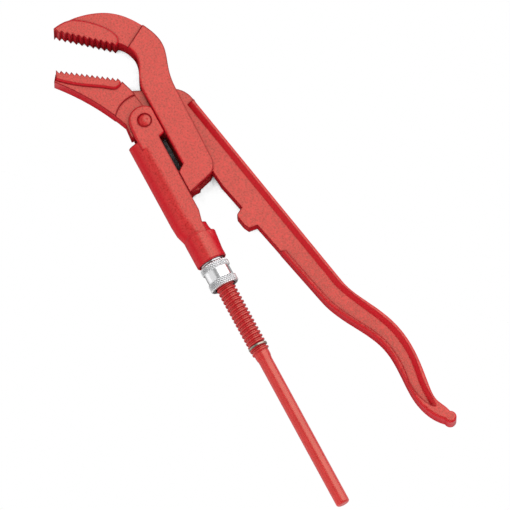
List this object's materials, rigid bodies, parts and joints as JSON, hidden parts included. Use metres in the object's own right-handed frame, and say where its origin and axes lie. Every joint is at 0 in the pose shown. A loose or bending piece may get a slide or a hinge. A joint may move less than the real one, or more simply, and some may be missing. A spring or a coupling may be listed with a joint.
{
  "type": "pipe wrench",
  "caption": "Red pipe wrench with slanted toothed jaws: a knurled nut moves the sleeve along a threaded spindle, and the long lever handle squeezes the jaws onto a pipe.",
  "frame": {"origin": "centre of the pipe held between the jaws, on the spindle's axis and on the flat middle plane of the wrench", "axes": "+X along the spindle from the jaws to the handle ends, +Y from the spindle towards the lever handle, +Z out of the flat side"},
  "size_m": [0.3225, 0.1106, 0.018],
  "materials": {
    "red_paint": "satin, fine grain of paint over forged steel",
    "bright_plating": "bright zinc plating",
    "bare_steel": "turned steel wire"
  },
  "bodies": {
    "hook": {"hook_jaw": "red_paint", "spindle": "red_paint", "spindle_cross_pin": "bare_steel", "spindle_stop_ring": "bare_steel"},
    "sleeve": {"guide_sleeve": "red_paint", "nut_retaining_ring": "bare_steel", "pivot_rivet": "red_paint"},
    "nut": {"adjusting_nut": "bright_plating"},
    "lever": {"lever": "red_paint"}
  },
  "joints": [
    {"name": "sleeve_slide", "type": "slide", "parent": "hook", "child": "sleeve", "axis": [1, 0, 0], "range_m": [-0.015, 0.02]},
    {"name": "nut_turn", "type": "hinge", "parent": "sleeve", "child": "nut", "pos_m": [0.141, 0, 0], "axis": [1, 0, 0], "range_deg": [-2161, 2881]},
    {"name": "lever_pivot", "type": "hinge", "parent": "sleeve", "child": "lever", "pos_m": [0.0424, 0.0038, 0], "axis": [0, 0, 1], "range_deg": [-10, 14]}
  ],
  "couplings": [
    {"joint": "nut_turn", "follows": "sleeve_slide", "rad_per_m": 2513.3}
  ]
}
